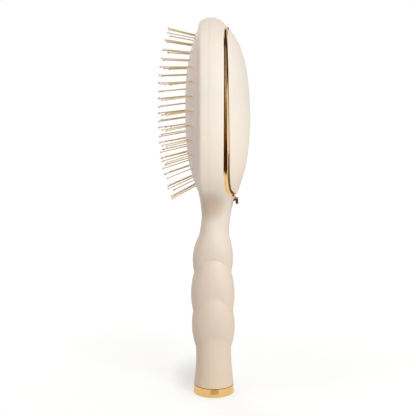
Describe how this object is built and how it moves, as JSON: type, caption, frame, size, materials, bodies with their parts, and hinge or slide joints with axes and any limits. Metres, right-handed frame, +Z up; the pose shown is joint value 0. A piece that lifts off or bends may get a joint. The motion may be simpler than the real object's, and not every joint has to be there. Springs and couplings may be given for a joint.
{
  "type": "detangling hairbrush",
  "caption": "Cushioned pin hairbrush with a contoured grip, a gold trim ring and end cap, and a hinged storage lid on the back of its head held by a sliding latch.",
  "frame": {"origin": "centre of the end cap's flat foot", "axes": "+Z up the handle to the top of the head, +Y out of the lid on the back of the head, pins towards -Y, +X across the head"},
  "size_m": [0.0712, 0.0568, 0.235],
  "materials": {
    "shell_cream": "soft satin",
    "cushion": "matte",
    "plate": "moulded",
    "tray": "satin",
    "screw_steel": "plated",
    "pin_steel": "plated",
    "spring_steel": "drawn wire",
    "gold": "polished plating",
    "gold_cap": "polished plating",
    "latch_gold": "polished plating",
    "pin_wire": "satin wire",
    "pin_tip": "glossy"
  },
  "bodies": {
    "handle": {"front_shell": "shell_cream", "back_shell": "shell_cream", "cushion_pad": "cushion", "base_plate": "plate", "base_screws": "screw_steel", "storage_tray": "tray", "trim_ring": "gold", "hinge_pin": "pin_steel", "latch_spring": "spring_steel", "latch_cover": "plate", "latch_screws": "screw_steel", "end_cap": "gold_cap", "end_plug": "plate"},
    "lid": {"lid": "shell_cream"},
    "latch": {"latch_slider": "latch_gold"},
    "pins_crown": {"pins_crown": "pin_wire", "tips_crown": "pin_tip"},
    "pins_inner": {"pins_inner": "pin_wire", "tips_inner": "pin_tip"},
    "pins_outer": {"pins_outer": "pin_wire", "tips_outer": "pin_tip"},
    "pins_rim": {"pins_rim": "pin_wire", "tips_rim": "pin_tip"}
  },
  "joints": [
    {"name": "lid_hinge", "type": "hinge", "parent": "handle", "child": "lid", "pos_m": [0, 0.00787, 0.2279], "axis": [1, 0, 0], "range_deg": [0, 90]},
    {"name": "latch_slide", "type": "slide", "parent": "handle", "child": "latch", "axis": [0, 0, -1], "range_m": [0, 0.0015], "stiffness_N_per_m": 300, "springref_m": -0.001, "deforming": ["latch_spring"]},
    {"name": "crown_press", "type": "slide", "parent": "handle", "child": "pins_crown", "axis": [0, 1, 0], "range_m": [0, 0.0035], "stiffness_N_per_m": 1500, "deforming": ["cushion_pad"]},
    {"name": "inner_press", "type": "slide", "parent": "handle", "child": "pins_inner", "axis": [0, 1, 0], "range_m": [0, 0.0027]},
    {"name": "outer_press", "type": "slide", "parent": "handle", "child": "pins_outer", "axis": [0, 1, 0], "range_m": [0, 0.00155]},
    {"name": "rim_press", "type": "slide", "parent": "handle", "child": "pins_rim", "axis": [0, 1, 0], "range_m": [0, 0.000745]}
  ],
  "couplings": [
    {"joint": "inner_press", "follows": "crown_press", "ratio": 0.77},
    {"joint": "outer_press", "follows": "crown_press", "ratio": 0.44},
    {"joint": "rim_press", "follows": "crown_press", "ratio": 0.21}
  ]
}
